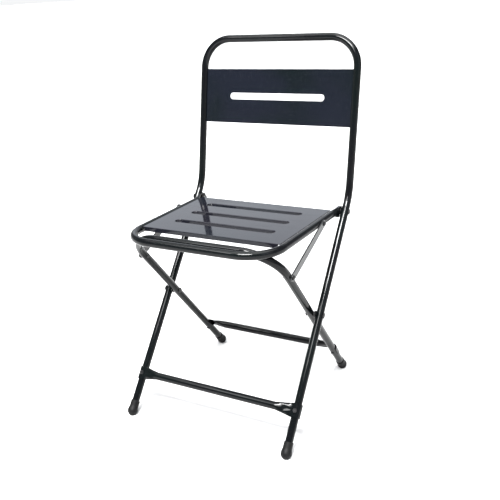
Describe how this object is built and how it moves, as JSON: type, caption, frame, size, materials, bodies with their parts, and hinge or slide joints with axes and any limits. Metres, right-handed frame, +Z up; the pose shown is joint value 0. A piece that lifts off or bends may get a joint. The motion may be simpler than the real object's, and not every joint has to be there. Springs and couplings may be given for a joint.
{
  "type": "folding chair",
  "caption": "Folding chair of bent round steel tube with a slotted sheet seat, a slotted back slat, crossed legs and flat side links.",
  "frame": {"origin": "on the floor, under the middle of the unfolded chair's bounding box", "axes": "-Y is the front of the chair, +Z up, +X to the viewer's right from the front, which is the sitter's left"},
  "size_m": [0.4324, 0.4908, 0.8324],
  "materials": {
    "tube_paint": "gloss black powder coat",
    "sheet_paint": "gloss blue-black powder coat on sheet",
    "link_paint": "gloss black powder coat on flat bar",
    "black_steel": "black coated steel fasteners",
    "foot_plastic": "black moulded plastic"
  },
  "bodies": {
    "back_frame": {"back_frame_tube": "tube_paint", "back_slat": "sheet_paint", "front_stretcher": "tube_paint", "front_stretcher_rivets": "black_steel", "leg_pivot_bolts": "black_steel", "leg_pivot_nuts": "black_steel", "leg_pivot_spacers": "black_steel", "seat_pivot_bolts": "black_steel", "seat_pivot_nuts": "black_steel", "seat_pivot_washers": "black_steel", "front_left_foot": "foot_plastic", "front_right_foot": "foot_plastic"},
    "seat": {"seat_frame_tube": "tube_paint", "seat_sheet": "sheet_paint", "link_upper_bolts": "black_steel", "link_upper_nuts": "black_steel"},
    "rear_legs": {"rear_leg_tube": "tube_paint", "rear_stretcher": "tube_paint", "rear_stretcher_rivets": "black_steel", "link_lower_nuts": "black_steel", "link_lower_studs": "black_steel", "rear_left_foot": "foot_plastic", "rear_right_foot": "foot_plastic"},
    "left_link_body": {"left_link": "link_paint", "left_link_head": "black_steel"},
    "right_link_body": {"right_link": "link_paint", "right_link_head": "black_steel"}
  },
  "joints": [
    {"name": "seat_fold", "type": "hinge", "parent": "back_frame", "child": "seat", "pos_m": [0, 0.1334, 0.4386], "axis": [-1, 0, 0], "range_deg": [0, 100]},
    {"name": "rear_leg_fold", "type": "hinge", "parent": "back_frame", "child": "rear_legs", "pos_m": [0, -0.03225, 0.24578], "axis": [-1, 0, 0], "range_deg": [0, 64.4]},
    {"name": "left_link_swing", "type": "hinge", "parent": "seat", "child": "left_link_body", "pos_m": [-0.1929, 0.02805, 0.44226], "axis": [1, 0, 0], "range_deg": [0, 131.3]},
    {"name": "right_link_swing", "type": "hinge", "parent": "seat", "child": "right_link_body", "pos_m": [0.1929, 0.02805, 0.44226], "axis": [1, 0, 0], "range_deg": [0, 131.3]}
  ],
  "couplings": [
    {"joint": "rear_leg_fold", "follows": "seat_fold", "ratio": 0.63896},
    {"joint": "left_link_swing", "follows": "seat_fold", "ratio": 1.3079},
    {"joint": "right_link_swing", "follows": "seat_fold", "ratio": 1.3079}
  ]
}
